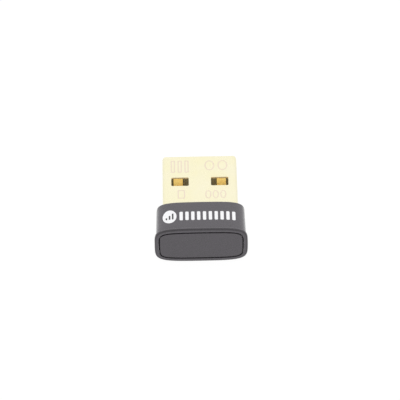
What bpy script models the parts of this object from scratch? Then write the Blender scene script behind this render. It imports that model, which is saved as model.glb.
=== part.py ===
"""Nano USB wireless adapter: a short moulded housing on a standard USB plug.

Metres, +Z up. X runs across the adapter and +Y from the housing to the plug tip.
The origin is at the bottom centre of the adapter's box, below the middle of its length.
"""

from math import cos, hypot, pi, radians, sin

import bmesh
import bpy

# Housing: a crowned sleeve that tapers to the plug, with a proud lip round its open end
HOUSING_LENGTH = 0.0069
SIDE_WALL = 0.00099
BROAD_WALL = 0.00082
SIDE_DRAFT = 0.0001
BROAD_DRAFT = 0.00008
BACK_EDGE = 0.00015
LIP_SIDE_REACH = 0.00023
LIP_BROAD_REACH = 0.00025
LIP_THICKNESS = 0.0005
LIP_EDGE = 0.00025
LIP_BACK_EDGE = 0.00008
HOUSING_SQUARENESS = 5.0
SECTION_CORNER = 0.0019
CROWN = 0.00012
SIDE_BOW = 0.0001

# End cap: a flush panel in a shadow gap, on a skirt that plugs into the sleeve
PANEL_MARGIN = 0.00087
PANEL_GAP = 0.00016
PANEL_THICKNESS = 0.0007
PANEL_SQUARENESS = 7.0
PANEL_EDGE = 0.00005
SKIRT_DEPTH = 0.0007
SKIRT_WALL = 0.0005
BEAD_WIDTH = 0.0057
BEAD_LENGTH = 0.00028
BEAD_SETBACK = 0.00028
BEAD_BITE = 0.00005

# Plug shell: folded sheet with four windows, closed by a dovetailed seam underneath
PLUG_LENGTH = 0.012
PLUG_WIDTH = 0.012
PLUG_HEIGHT = 0.0045
PLUG_CORNER = 0.0006
SHELL_WALL = 0.0003
SHELL_INSERTION = 0.003
MOUTH_LENGTH = 0.0004
MOUTH_TAPER = 0.00008
WINDOW_WIDTH = 0.0028
WINDOW_LENGTH = 0.002
WINDOW_CORNER = 0.0002
WINDOW_FROM_TIP = 0.00521
WINDOW_OFFSET = 0.00319
SEAM_WIDTH = 0.00008
DOVETAIL_REACH = 0.0012
DOVETAIL_NECK = 0.0016
DOVETAIL_FLARE = 0.0003
BARB_LENGTH = 0.0009
BARB_WIDTH = 0.0012
BARB_HEIGHT = 0.00018
BARB_OFFSET = 0.0035

# Contact carrier: the moulded tongue in the plug
CARRIER_SETBACK = 0.00045
CARRIER_INSET = 0.00155
CARRIER_RAIL = 0.001
NOSE_LENGTH = 0.0007
NOSE_CHAMFER = 0.0002
CORE_DEPTH = 0.0008
CORE_LENGTH = 0.003
CORE_WIDTH = 0.0028
CORE_WALL = 0.0006
PAD_INSET = 0.0003
PAD_HEIGHT = 0.0002

# Contact strips: stamped and formed, with a hooked nose and a soldered foot
STRIP_THICKNESS = 0.00015
STRIP_PROUD = 0.00003
OUTER_STRIP_WIDTH = 0.0015
INNER_STRIP_WIDTH = 0.001
OUTER_STRIP_OFFSET = 0.0035
INNER_STRIP_OFFSET = 0.001
INNER_STRIP_SETBACK = 0.001
HOOK_DROP = 0.0005
STRIP_BEND = 0.0002
STRIP_FOOT = 0.0007
STRIP_STEP = 0.0003

# Circuit board and the parts on it
BOARD_THICKNESS = 0.0008
BOARD_FLOOR_GAP = 0.0006
BOARD_TONGUE = 0.0035
BOARD_CHAMFER = 0.0003
BOARD_SIDE_GAP = 0.00015
GUIDE_WIDTH = 0.0005
RADIO_SIZE = 0.0035
RADIO_HEIGHT = 0.00085
MEMORY_SIZE = 0.002
MEMORY_HEIGHT = 0.0006
CHIP_EDGE = 0.00005
PIN_MARK_RADIUS = 0.0002
PIN_MARK_DEPTH = 0.00006
CRYSTAL_LENGTH = 0.002
CRYSTAL_WIDTH = 0.0016
CRYSTAL_HEIGHT = 0.0005
CRYSTAL_LID = 0.00015
CRYSTAL_RIM = 0.00012
ANTENNA_LENGTH = 0.0032
ANTENNA_WIDTH = 0.0016
ANTENNA_HEIGHT = 0.0011
REGULATOR_LENGTH = 0.0029
REGULATOR_WIDTH = 0.0016
REGULATOR_HEIGHT = 0.0011
LEAD_WIDTH = 0.0004
LEAD_THICKNESS = 0.00012
LEAD_REACH = 0.0005
LEAD_PITCH = 0.00095
SMALL_LENGTH = 0.001
SMALL_WIDTH = 0.0005
SMALL_HEIGHT = 0.00035
LARGE_LENGTH = 0.0016
LARGE_WIDTH = 0.0008
LARGE_HEIGHT = 0.00045
TERMINAL_SHARE = 0.25
TERMINAL_STEP = 0.00002

# Clearances between pieces
FIT = 0.00005
SEAT = 0.00004
PART_GAP = 0.0003

# Facets, with those of an outline in the order corner, long side, short side
SECTION_STEPS = (9, 10, 5)
SHEET_STEPS = (5, 1, 1)
WINDOW_STEPS = (3, 1, 1)
LID_STEPS = (2, 1, 1)
BEND_STEPS = 5
ROUND_STEPS = 4

# Places that follow from the sizes
FRONT_Y = -(HOUSING_LENGTH + PLUG_LENGTH) / 2
SHOULDER_Y = FRONT_Y + HOUSING_LENGTH
TIP_Y = SHOULDER_Y + PLUG_LENGTH
SHELL_REAR_Y = SHOULDER_Y - SHELL_INSERTION
BACK_WIDTH = PLUG_WIDTH + 2 * (FIT + SIDE_WALL)
BACK_HEIGHT = PLUG_HEIGHT + 2 * (FIT + BROAD_WALL)
BODY_WIDTH = BACK_WIDTH + 2 * SIDE_DRAFT
BODY_HEIGHT = BACK_HEIGHT + 2 * BROAD_DRAFT
LIP_WIDTH = BODY_WIDTH + 2 * LIP_SIDE_REACH
LIP_HEIGHT = BODY_HEIGHT + 2 * LIP_BROAD_REACH
AXIS_Z = LIP_HEIGHT / 2
PANEL_WIDTH = LIP_WIDTH - 2 * PANEL_MARGIN
PANEL_HEIGHT = LIP_HEIGHT - 2 * PANEL_MARGIN
BORE_WIDTH = PLUG_WIDTH - 2 * SHELL_WALL
BORE_HEIGHT = PLUG_HEIGHT - 2 * SHELL_WALL
BORE_CORNER = PLUG_CORNER - SHELL_WALL
BORE_FLOOR_Z = AXIS_Z - BORE_HEIGHT / 2
SHELL_TOP_Z = AXIS_Z + PLUG_HEIGHT / 2
SHELL_BOTTOM_Z = AXIS_Z - PLUG_HEIGHT / 2
CONTACT_Z = AXIS_Z
CARRIER_TOP_Z = CONTACT_Z - STRIP_PROUD
CARRIER_FLOOR_Z = BORE_FLOOR_Z + SEAT
CARRIER_WIDTH = BORE_WIDTH - 2 * FIT
CARRIER_NOSE_Y = TIP_Y - CARRIER_SETBACK
CARRIER_REAR_Y = SHOULDER_Y + CARRIER_INSET
STRIP_BED_Z = CONTACT_Z - STRIP_THICKNESS
STRIP_NOSE_Y = CARRIER_NOSE_Y - NOSE_LENGTH
BOARD_BOTTOM_Z = BORE_FLOOR_Z + BOARD_FLOOR_GAP
BOARD_TOP_Z = BOARD_BOTTOM_Z + BOARD_THICKNESS
BOARD_WIDTH = BORE_WIDTH - 2 * BOARD_SIDE_GAP
BOARD_NECK = CARRIER_WIDTH - 2 * CARRIER_RAIL
BOARD_FRONT_Y = FRONT_Y + PANEL_THICKNESS + SKIRT_DEPTH + SEAT
BOARD_STEP_Y = CARRIER_REAR_Y - SEAT
BOARD_TONGUE_Y = CARRIER_REAR_Y + BOARD_TONGUE
FOOT_END_Y = CARRIER_REAR_Y - STRIP_STEP - STRIP_FOOT
LEDGE_Y = SHELL_REAR_Y - SEAT
BARB_Y = (SHELL_REAR_Y + SHOULDER_Y) / 2


def clear_scene():
    for item in list(bpy.data.objects):
        bpy.data.objects.remove(item, do_unlink=True)


def material(name, colour, roughness, metallic=0.0):
    """A Principled material in the piece's own colour."""
    surface = bpy.data.materials.new(name)
    surface.use_nodes = True
    shader = surface.node_tree.nodes["Principled BSDF"]
    shader.inputs["Base Color"].default_value = (*colour, 1.0)
    shader.inputs["Roughness"].default_value = roughness
    shader.inputs["Metallic"].default_value = metallic
    return surface


def place(name, form, surface, location=(0.0, 0.0, 0.0)):
    """Turn a finished bmesh into a named object of the adapter."""
    bmesh.ops.recalc_face_normals(form, faces=form.faces)
    mesh = bpy.data.meshes.new(name)
    form.to_mesh(mesh)
    form.free()
    mesh.shade_smooth()
    mesh.set_sharp_from_angle(angle=radians(35))
    piece = bpy.data.objects.new(name, mesh)
    piece.location = location
    bpy.context.collection.objects.link(piece)
    if surface:
        mesh.materials.append(surface)
    return piece


def combine(piece, form, name, operation, location=(0.0, 0.0, 0.0)):
    """Cut a shape out of a piece, or fuse one to it."""
    tool = place(name, form, None, location)
    tool.hide_render = True
    tool.display_type = "WIRE"
    step = piece.modifiers.new(name, "BOOLEAN")
    step.operation = operation
    step.object = tool


def rounded(width, height, radius, steps):
    """Rounded rectangle about the origin."""
    corner_steps, long_steps, short_steps = steps
    arcs = []
    for index, (side, up) in enumerate(((1, -1), (1, 1), (-1, 1), (-1, -1))):
        arc = []
        for step in range(corner_steps + 1):
            angle = (index - 1 + step / corner_steps) * pi / 2
            arc.append((
                side * (width / 2 - radius) + radius * cos(angle),
                up * (height / 2 - radius) + radius * sin(angle),
            ))
        arcs.append(arc)
    points = []
    for index, arc in enumerate(arcs):
        points += arc
        (x0, z0), (x1, z1) = arc[-1], arcs[(index + 1) % 4][0]
        span = long_steps if index % 2 else short_steps
        for step in range(1, span):
            share = step / span
            points.append((x0 + (x1 - x0) * share, z0 + (z1 - z0) * share))
    return points


def cushion(width, height, squareness):
    """Softly squared outline, its long sides crowned and its ends bowed."""
    half_width = width / 2 - SIDE_BOW
    half_height = height / 2 - CROWN
    points = []
    for x, z in rounded(2 * half_width, 2 * half_height, SECTION_CORNER, SECTION_STEPS):
        share_x = abs(x) / half_width
        share_z = abs(z) / half_height
        reach = (share_x ** squareness + share_z ** squareness) ** (-1 / squareness)
        swell_x = SIDE_BOW * (1 - (share_z * reach) ** 2)
        swell_z = CROWN * (1 - (share_x * reach) ** 2)
        points.append((
            x * reach + (swell_x if x > 0 else -swell_x),
            z * reach + (swell_z if z > 0 else -swell_z),
        ))
    return points


def grown(outline, growth):
    """An outline moved outward along its normals."""
    moved = []
    for index, (x, z) in enumerate(outline):
        x0, z0 = outline[index - 1]
        x1, z1 = outline[(index + 1) % len(outline)]
        along = hypot(x1 - x0, z1 - z0)
        moved.append((x + growth * (z1 - z0) / along, z - growth * (x1 - x0) / along))
    return moved


def loft(stations, closed=False):
    """Skin from outline to outline. The last joins the first, or both ends are capped."""
    form = bmesh.new()
    rings = [[form.verts.new(point) for point in station] for station in stations]
    pairs = list(zip(rings, rings[1:]))
    if closed:
        pairs.append((rings[-1], rings[0]))
    else:
        form.faces.new(rings[0])
        form.faces.new(rings[-1])
    for near, far in pairs:
        count = len(near)
        for index in range(count):
            following = (index + 1) % count
            form.faces.new((near[index], near[following], far[following], far[index]))
    return form


def across(outline, y, z=AXIS_Z):
    """An outline stood up across the adapter at one Y."""
    return [(x, y, z + height) for x, height in outline]


def level(outline, z):
    """An outline laid flat at one Z."""
    return [(x, y, z) for x, y in outline]


def box(form, low, high):
    """Add a plain block between two corners to a shape."""
    before = set(form.verts)
    bmesh.ops.create_cube(form, size=1.0)
    for vertex in set(form.verts) - before:
        vertex.co = [
            low[axis] + (vertex.co[axis] + 0.5) * (high[axis] - low[axis]) for axis in range(3)
        ]
    return form


def ribbon(path, thickness):
    """Closed outline of a strip of even thickness along a path in a plane."""
    left = []
    right = []
    for index, (u, v) in enumerate(path):
        directions = []
        if index > 0:
            directions.append((u - path[index - 1][0], v - path[index - 1][1]))
        if index < len(path) - 1:
            directions.append((path[index + 1][0] - u, path[index + 1][1] - v))
        normals = [(-dv / hypot(du, dv), du / hypot(du, dv)) for du, dv in directions]
        nu = sum(normal[0] for normal in normals)
        nv = sum(normal[1] for normal in normals)
        scale = thickness / 2 / (nu * normals[0][0] + nv * normals[0][1])
        left.append((u + nu * scale, v + nv * scale))
        right.append((u - nu * scale, v - nv * scale))
    return left + right[::-1]


def bend(centre, radius, start, end):
    """Points along a bend, with its angles in degrees."""
    return [
        (
            centre[0] + radius * cos(radians(start + (end - start) * step / BEND_STEPS)),
            centre[1] + radius * sin(radians(start + (end - start) * step / BEND_STEPS)),
        )
        for step in range(BEND_STEPS + 1)
    ]


def extrude_x(outline, width, x=0.0):
    """Profile in Y and Z carried evenly to both sides of one X."""
    return loft([[(x + side * width / 2, y, z) for y, z in outline] for side in (-1, 1)])


def extrude_z(outline, bottom, top):
    """Plan outline carried from one level to another."""
    return loft([level(outline, bottom), level(outline, top)])


def lip_outline(growth):
    return grown(cushion(LIP_WIDTH, LIP_HEIGHT, HOUSING_SQUARENESS), growth)


def panel_outline(growth):
    return grown(cushion(PANEL_WIDTH, PANEL_HEIGHT, PANEL_SQUARENESS), growth)


def bore_outline(growth, corner, steps=SECTION_STEPS):
    return rounded(BORE_WIDTH + 2 * growth, BORE_HEIGHT + 2 * growth, corner, steps)


def barb_profile(clearance):
    """Barb on the shell's top: it rises towards the plug tip and drops to a catch face."""
    low = SHELL_TOP_Z - SHELL_WALL / 2
    return [
        (BARB_Y - BARB_LENGTH / 2 - clearance, low),
        (BARB_Y + BARB_LENGTH / 2 + clearance, low),
        (BARB_Y + BARB_LENGTH / 2 + clearance, SHELL_TOP_Z + BARB_HEIGHT + clearance),
        (BARB_Y - BARB_LENGTH / 2 - clearance, SHELL_TOP_Z + clearance),
    ]


def barbs(clearance):
    """Two barbs on the top and two below, mirrored in the plug's axis."""
    form = bmesh.new()
    profile = barb_profile(clearance)
    for side in (-1, 1):
        for flip in (-1, 1):
            rings = []
            for edge in (-1, 1):
                x = side * BARB_OFFSET + edge * (BARB_WIDTH / 2 + clearance)
                rings.append([
                    form.verts.new((x, y, AXIS_Z + flip * (z - AXIS_Z))) for y, z in profile
                ])
            form.faces.new(rings[0])
            form.faces.new(rings[1])
            for index in range(4):
                following = (index + 1) % 4
                form.faces.new((
                    rings[0][index], rings[0][following], rings[1][following], rings[1][index],
                ))
    return form


def skirt_beads(clearance):
    """Snap beads along the top and bottom of the cap's skirt."""
    form = bmesh.new()
    middle = FRONT_Y + PANEL_THICKNESS + SKIRT_DEPTH - BEAD_SETBACK
    half_length = BEAD_LENGTH / 2 + clearance
    half_width = BEAD_WIDTH / 2 + clearance
    reach = BORE_HEIGHT / 2 + BEAD_BITE + clearance
    root = BORE_HEIGHT / 2 - FIT - SKIRT_WALL / 2
    for flip in (-1, 1):
        low, high = sorted((AXIS_Z + flip * root, AXIS_Z + flip * reach))
        box(
            form,
            (-half_width, middle - half_length, low),
            (half_width, middle + half_length, high),
        )
    return form


def make_sleeve():
    """Moulded sleeve: lip, tapered crowned body, rounded back edge, and a stepped bore."""
    lip_back = FRONT_Y + LIP_THICKNESS
    body = cushion(BODY_WIDTH, BODY_HEIGHT, HOUSING_SQUARENESS)
    back = cushion(BACK_WIDTH, BACK_HEIGHT, HOUSING_SQUARENESS)
    turns = [step / ROUND_STEPS * pi / 2 for step in range(ROUND_STEPS + 1)]
    stations = []
    for turn in turns:
        stations.append(across(
            lip_outline(LIP_EDGE * (sin(turn) - 1)), FRONT_Y + LIP_EDGE * (1 - cos(turn)),
        ))
    stations += [
        across(lip_outline(0.0), lip_back - LIP_BACK_EDGE),
        across(lip_outline(-LIP_BACK_EDGE), lip_back),
        across(body, lip_back),
    ]
    for turn in turns:
        stations.append(across(
            grown(back, BACK_EDGE * (cos(turn) - 1)), SHOULDER_Y - BACK_EDGE * (1 - sin(turn)),
        ))
    mouth = bore_outline(SHELL_WALL + FIT, PLUG_CORNER + FIT)
    bore = bore_outline(0.0, BORE_CORNER)
    rebate = panel_outline(PANEL_GAP)
    panel_floor = FRONT_Y + PANEL_THICKNESS + SEAT
    stations += [
        across(mouth, SHOULDER_Y),
        across(mouth, LEDGE_Y),
        across(bore, LEDGE_Y),
        across(bore, panel_floor),
        across(rebate, panel_floor),
        across(rebate, FRONT_Y),
    ]
    black = material("black_housing", (0.063, 0.058, 0.065), 0.3)
    sleeve = place("housing_sleeve", loft(stations, closed=True), black)
    guides = bmesh.new()
    inner = BORE_WIDTH / 2 - GUIDE_WIDTH
    outer = BORE_WIDTH / 2 + SHELL_WALL
    for side in (-1, 1):
        low_x, high_x = sorted((side * inner, side * outer))
        box(
            guides,
            (low_x, BOARD_FRONT_Y + SEAT, BORE_FLOOR_Z - SHELL_WALL),
            (high_x, LEDGE_Y - SEAT, BOARD_BOTTOM_Z - SEAT),
        )
    combine(sleeve, guides, "board_guides", "UNION")
    combine(sleeve, barbs(FIT), "barb_pockets", "DIFFERENCE")
    combine(sleeve, skirt_beads(FIT), "bead_recesses", "DIFFERENCE")


def make_end_cap():
    """Flush panel with a hollow skirt behind it."""
    back = FRONT_Y + PANEL_THICKNESS
    skirt = bore_outline(-FIT, BORE_CORNER)
    hollow = bore_outline(-FIT - SKIRT_WALL, BORE_CORNER / 2)
    stations = [
        across(panel_outline(-PANEL_EDGE), FRONT_Y),
        across(panel_outline(0.0), FRONT_Y + PANEL_EDGE),
        across(panel_outline(0.0), back),
        across(skirt, back),
        across(skirt, back + SKIRT_DEPTH),
        across(hollow, back + SKIRT_DEPTH),
        across(hollow, back),
    ]
    cap = place("end_cap", loft(stations), material("black_panel", (0.063, 0.058, 0.065), 0.3))
    combine(cap, skirt_beads(0.0), "cap_beads", "UNION")


def seam_path():
    """Centre line of the seam under the plug, with one dovetail key half-way along."""
    middle = (SHOULDER_Y + TIP_Y) / 2
    neck = DOVETAIL_NECK / 2
    wide = neck + DOVETAIL_FLARE
    return [
        (0.0, SHELL_REAR_Y - SHELL_WALL),
        (0.0, middle - neck),
        (-DOVETAIL_REACH, middle - wide),
        (-DOVETAIL_REACH, middle + wide),
        (0.0, middle + neck),
        (0.0, TIP_Y + SHELL_WALL),
    ]


def make_plug_shell():
    """Folded sheet-metal shell with a rolled mouth, windows, seam and barbs."""
    stations = []
    for y, inset in (
        (SHELL_REAR_Y, 0.0),
        (TIP_Y - MOUTH_LENGTH, 0.0),
        (TIP_Y, MOUTH_TAPER),
    ):
        stations.append(across(
            bore_outline(SHELL_WALL - inset, PLUG_CORNER - inset, SHEET_STEPS), y,
        ))
    for y, growth in (
        (TIP_Y, MOUTH_TAPER),
        (TIP_Y - MOUTH_LENGTH, 0.0),
        (SHELL_REAR_Y, 0.0),
    ):
        stations.append(across(bore_outline(growth, BORE_CORNER + growth, SHEET_STEPS), y))
    gilt = material("gilt_shell", (0.91, 0.865, 0.62), 0.3, 1.0)
    shell = place("plug_shell", loft(stations, closed=True), gilt)
    combine(shell, barbs(0.0), "shell_barbs", "UNION")
    window = rounded(WINDOW_WIDTH, WINDOW_LENGTH, WINDOW_CORNER, WINDOW_STEPS)
    window_y = TIP_Y - WINDOW_FROM_TIP - WINDOW_LENGTH / 2
    for side, name in ((-1, "window_left"), (1, "window_right")):
        through = extrude_z(window, SHELL_BOTTOM_Z - SHELL_WALL, SHELL_TOP_Z + SHELL_WALL)
        combine(shell, through, name, "DIFFERENCE", (side * WINDOW_OFFSET, window_y, 0.0))
    seam = extrude_z(
        ribbon(seam_path(), SEAM_WIDTH), SHELL_BOTTOM_Z - SHELL_WALL, BORE_FLOOR_Z + SHELL_WALL,
    )
    combine(shell, seam, "seam", "DIFFERENCE")


def strips():
    """Name, X, width and setback of each contact strip."""
    return (
        ("contact_power", -OUTER_STRIP_OFFSET, OUTER_STRIP_WIDTH, 0.0),
        ("contact_data_minus", -INNER_STRIP_OFFSET, INNER_STRIP_WIDTH, INNER_STRIP_SETBACK),
        ("contact_data_plus", INNER_STRIP_OFFSET, INNER_STRIP_WIDTH, INNER_STRIP_SETBACK),
        ("contact_ground", OUTER_STRIP_OFFSET, OUTER_STRIP_WIDTH, 0.0),
    )


def make_carrier():
    """Moulded tongue: nose, strip grooves, board slot, cored underside and latch pads."""
    edge = BORE_CORNER
    half = CARRIER_WIDTH / 2

    def section(drop):
        return [
            (-half, CARRIER_FLOOR_Z + edge),
            (-half + edge, CARRIER_FLOOR_Z),
            (half - edge, CARRIER_FLOOR_Z),
            (half, CARRIER_FLOOR_Z + edge),
            (half, CARRIER_TOP_Z - drop),
            (-half, CARRIER_TOP_Z - drop),
        ]

    stations = [
        across(section(0.0), CARRIER_REAR_Y, 0.0),
        across(section(0.0), CARRIER_NOSE_Y - NOSE_CHAMFER, 0.0),
        across(section(NOSE_CHAMFER), CARRIER_NOSE_Y, 0.0),
    ]
    insulator = material("insulator", (0.46, 0.4, 0.22), 0.45)
    carrier = place("contact_carrier", loft(stations), insulator)
    pads = bmesh.new()
    window_y = TIP_Y - WINDOW_FROM_TIP - WINDOW_LENGTH / 2
    for side in (-1, 1):
        box(
            pads,
            (
                side * WINDOW_OFFSET - WINDOW_WIDTH / 2 + PAD_INSET,
                window_y - WINDOW_LENGTH / 2 + PAD_INSET,
                CARRIER_FLOOR_Z - PAD_HEIGHT,
            ),
            (
                side * WINDOW_OFFSET + WINDOW_WIDTH / 2 - PAD_INSET,
                window_y + WINDOW_LENGTH / 2 - PAD_INSET,
                CARRIER_FLOOR_Z + PAD_HEIGHT,
            ),
        )
    combine(carrier, pads, "latch_pads", "UNION")
    for name, x, width, setback in strips():
        reach = width / 2 + SEAT
        nose = STRIP_NOSE_Y - setback + SEAT
        hook_floor = CONTACT_Z - STRIP_BEND - HOOK_DROP - SEAT
        groove = extrude_x(
            [
                (CARRIER_REAR_Y - SEAT, STRIP_BED_Z - SEAT),
                (nose - STRIP_THICKNESS - STRIP_BEND - 2 * SEAT, STRIP_BED_Z - SEAT),
                (nose - STRIP_THICKNESS - STRIP_BEND - 2 * SEAT, hook_floor),
                (nose, hook_floor),
                (nose, CONTACT_Z + SEAT),
                (CARRIER_REAR_Y - SEAT, CONTACT_Z + SEAT),
            ],
            2 * reach, x,
        )
        combine(carrier, groove, name + "_groove", "DIFFERENCE")
    slot = box(
        bmesh.new(),
        (-BOARD_NECK / 2 - SEAT, CARRIER_REAR_Y - SEAT, BOARD_BOTTOM_Z - SEAT),
        (BOARD_NECK / 2 + SEAT, BOARD_TONGUE_Y + SEAT, BOARD_TOP_Z + SEAT),
    )
    combine(carrier, slot, "board_slot", "DIFFERENCE")
    cores = bmesh.new()
    core_end = CARRIER_NOSE_Y - NOSE_LENGTH
    for index in (-1, 0, 1):
        x = index * (CORE_WIDTH + CORE_WALL)
        box(
            cores,
            (x - CORE_WIDTH / 2, core_end - CORE_LENGTH, CARRIER_FLOOR_Z - SEAT),
            (x + CORE_WIDTH / 2, core_end, CARRIER_FLOOR_Z + CORE_DEPTH),
        )
    combine(carrier, cores, "underside_cores", "DIFFERENCE")


def make_contacts():
    """Four formed strips in the carrier's grooves, each with its foot on the board."""
    surface = material("gold_contact", (1.0, 0.68, 0.24), 0.25, 1.0)
    half = STRIP_THICKNESS / 2
    flat_z = CONTACT_Z - half
    foot_z = BOARD_TOP_Z + SEAT + half
    radius = STRIP_BEND
    for name, x, width, setback in strips():
        nose = STRIP_NOSE_Y - setback - half
        path = [(nose, flat_z - radius - HOOK_DROP)]
        path += bend((nose - radius, flat_z - radius), radius, 0, 90)
        path += [
            (CARRIER_REAR_Y - half, flat_z),
            (CARRIER_REAR_Y - STRIP_STEP, foot_z),
            (FOOT_END_Y, foot_z),
        ]
        place(name, extrude_x(ribbon(path, STRIP_THICKNESS), width, x), surface)


def make_board():
    """Board with a wide front and a narrower tongue that slides into the carrier."""
    wide = BOARD_WIDTH / 2
    neck = BOARD_NECK / 2
    cut = BOARD_CHAMFER
    outline = [
        (-wide + cut, BOARD_FRONT_Y),
        (wide - cut, BOARD_FRONT_Y),
        (wide, BOARD_FRONT_Y + cut),
        (wide, BOARD_STEP_Y - cut),
        (wide - cut, BOARD_STEP_Y),
        (neck, BOARD_STEP_Y),
        (neck, BOARD_TONGUE_Y - cut),
        (neck - cut, BOARD_TONGUE_Y),
        (-neck + cut, BOARD_TONGUE_Y),
        (-neck, BOARD_TONGUE_Y - cut),
        (-neck, BOARD_STEP_Y),
        (-wide + cut, BOARD_STEP_Y),
        (-wide, BOARD_STEP_Y - cut),
        (-wide, BOARD_FRONT_Y + cut),
    ]
    place(
        "circuit_board", extrude_z(outline, BOARD_BOTTOM_Z, BOARD_TOP_Z),
        material("green_board", (0.02, 0.11, 0.05), 0.45),
    )


def make_chip(name, size, height, x, y, surface):
    """Square moulded package with softened edges and a pin-one mark."""
    form = box(bmesh.new(), (-size / 2, -size / 2, 0.0), (size / 2, size / 2, height))
    bmesh.ops.bevel(form, geom=form.edges[:], offset=CHIP_EDGE, segments=1, affect="EDGES")
    chip = place(name, form, surface, (x, y, BOARD_TOP_Z + SEAT))
    mark = bmesh.new()
    bmesh.ops.create_cone(
        mark, cap_ends=True, segments=12, radius1=PIN_MARK_RADIUS, radius2=PIN_MARK_RADIUS,
        depth=2 * PIN_MARK_DEPTH,
    )
    corner = size / 2 - 2 * PIN_MARK_RADIUS
    combine(
        chip, mark, name + "_pin_mark", "DIFFERENCE",
        (x - corner, y + corner, BOARD_TOP_Z + SEAT + height),
    )


def make_crystal(x, y):
    """Ceramic base with a smaller metal lid."""
    base = rounded(CRYSTAL_LENGTH, CRYSTAL_WIDTH, CRYSTAL_RIM, LID_STEPS)
    lid = rounded(
        CRYSTAL_LENGTH - 2 * CRYSTAL_RIM, CRYSTAL_WIDTH - 2 * CRYSTAL_RIM, CRYSTAL_RIM, LID_STEPS,
    )
    seat = CRYSTAL_HEIGHT - CRYSTAL_LID
    form = loft([level(base, 0.0), level(base, seat), level(lid, seat), level(lid, CRYSTAL_HEIGHT)])
    can = material("crystal_can", (0.6, 0.58, 0.52), 0.35, 0.8)
    place("crystal", form, can, (x, y, BOARD_TOP_Z + SEAT))


def make_regulator(x, y):
    """Moulded package on five gull-wing leads."""
    stand = LEAD_THICKNESS
    form = box(
        bmesh.new(),
        (-REGULATOR_LENGTH / 2, -REGULATOR_WIDTH / 2, stand),
        (REGULATOR_LENGTH / 2, REGULATOR_WIDTH / 2, REGULATOR_HEIGHT),
    )
    bmesh.ops.bevel(form, geom=form.edges[:], offset=CHIP_EDGE, segments=1, affect="EDGES")
    spot = (x, y, BOARD_TOP_Z + SEAT)
    case = material("regulator_case", (0.03, 0.03, 0.032), 0.5)
    regulator = place("voltage_regulator", form, case, spot)
    half = LEAD_THICKNESS / 2
    root_z = (stand + REGULATOR_HEIGHT) / 2
    lead = ribbon(
        [
            (REGULATOR_WIDTH / 2 - LEAD_THICKNESS, root_z),
            (REGULATOR_WIDTH / 2 + LEAD_REACH / 3, root_z),
            (REGULATOR_WIDTH / 2 + LEAD_REACH / 2, half),
            (REGULATOR_WIDTH / 2 + LEAD_REACH, half),
        ],
        LEAD_THICKNESS,
    )
    mirrored = [(-v, z) for v, z in lead]
    rows = ((lead, (-1, 0, 1)), (mirrored, (-1, 1)))
    for row, (profile, places) in enumerate(rows):
        for index in places:
            form = extrude_x(profile, LEAD_WIDTH, index * LEAD_PITCH)
            combine(regulator, form, f"lead_{row}_{index + 1}", "UNION", spot)


def make_block(name, length, width, height, x, y, z, surface, turned=False):
    """Small two-terminal part, its end terminals a little proud of its body."""
    cap = length * TERMINAL_SHARE
    stations = []
    for along, inset in (
        (0.0, 0.0),
        (cap, 0.0),
        (cap, TERMINAL_STEP),
        (length - cap, TERMINAL_STEP),
        (length - cap, 0.0),
        (length, 0.0),
    ):
        half_width = width / 2 - inset
        stations.append([
            (along - length / 2, half_width * side, inset + (height - 2 * inset) * up)
            for side, up in ((-1, 0), (1, 0), (1, 1), (-1, 1))
        ])
    if turned:
        stations = [[(-v, u, w) for u, v, w in station] for station in stations]
    place(name, loft(stations), surface, (x, y, z))


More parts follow.
